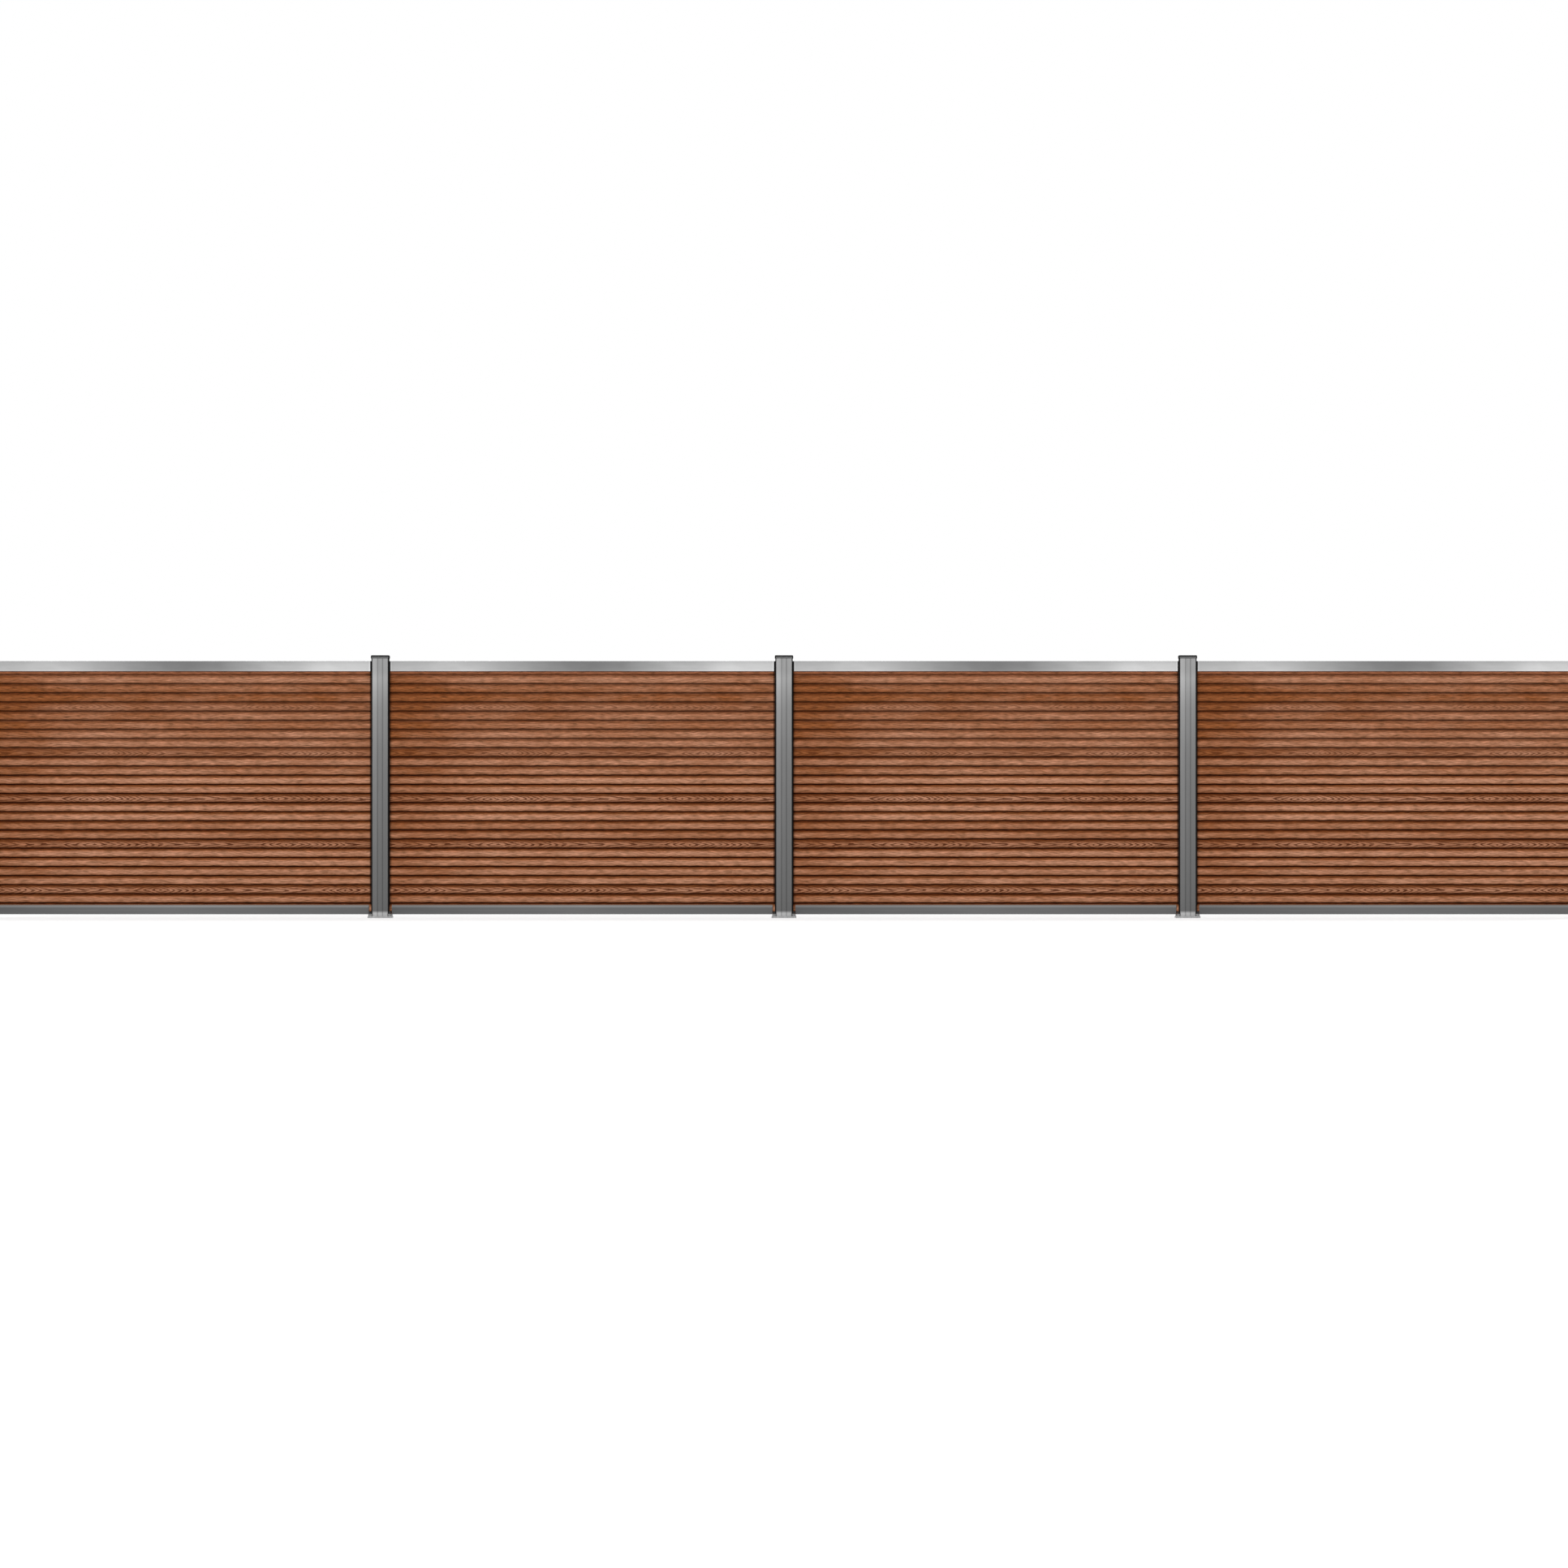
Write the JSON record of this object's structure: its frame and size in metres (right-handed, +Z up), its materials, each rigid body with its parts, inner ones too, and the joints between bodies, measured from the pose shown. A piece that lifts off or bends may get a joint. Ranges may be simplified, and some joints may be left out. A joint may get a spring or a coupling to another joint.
{
  "type": "composite board fence",
  "caption": "Straight run of composite fence: ribbed boards stacked between slotted aluminium posts on bolted base plates, with top and bottom rails.",
  "frame": {"origin": "centre of the underside of the middle post's base plate", "axes": "+X along the fence, to the right when it is seen from the front; the front faces -Y; +Z up"},
  "size_m": [7.31, 0.11, 1.171],
  "materials": {
    "post_aluminium": "satin anodised extrusion",
    "plate_aluminium": "mill finish",
    "top_rail_aluminium": "satin anodised extrusion",
    "bottom_rail_aluminium": "grey anodised extrusion",
    "cap_plastic": "moulded black",
    "packer_plastic": "moulded black",
    "seal_rubber": "matt black",
    "composite_board": "embossed wood-plastic composite, red-brown"
  },
  "bodies": {
    "root": {"post_1": "post_aluminium", "post_2": "post_aluminium", "post_3": "post_aluminium", "post_4": "post_aluminium", "post_5": "post_aluminium", "post_cap_1": "cap_plastic", "post_cap_2": "cap_plastic", "post_cap_3": "cap_plastic", "post_cap_4": "cap_plastic", "post_cap_5": "cap_plastic", "base_plate_1": "plate_aluminium", "base_plate_2": "plate_aluminium", "base_plate_3": "plate_aluminium", "base_plate_4": "plate_aluminium", "base_plate_5": "plate_aluminium", "seal_strips_1": "seal_rubber", "seal_strips_2": "seal_rubber", "seal_strips_3": "seal_rubber", "seal_strips_4": "seal_rubber", "seal_strips_5": "seal_rubber", "board_packers_1": "packer_plastic", "board_packers_2": "packer_plastic", "board_packers_3": "packer_plastic", "board_packers_4": "packer_plastic", "board_packers_5": "packer_plastic", "board_panel_1": "composite_board", "board_panel_2": "composite_board", "board_panel_3": "composite_board", "board_panel_4": "composite_board", "top_rail_1": "top_rail_aluminium", "top_rail_2": "top_rail_aluminium", "top_rail_3": "top_rail_aluminium", "top_rail_4": "top_rail_aluminium", "rail_gaskets_1": "seal_rubber", "rail_gaskets_2": "seal_rubber", "rail_gaskets_3": "seal_rubber", "rail_gaskets_4": "seal_rubber", "bottom_rail_1": "bottom_rail_aluminium", "bottom_rail_2": "bottom_rail_aluminium", "bottom_rail_3": "bottom_rail_aluminium", "bottom_rail_4": "bottom_rail_aluminium"}
  },
  "joints": []
}
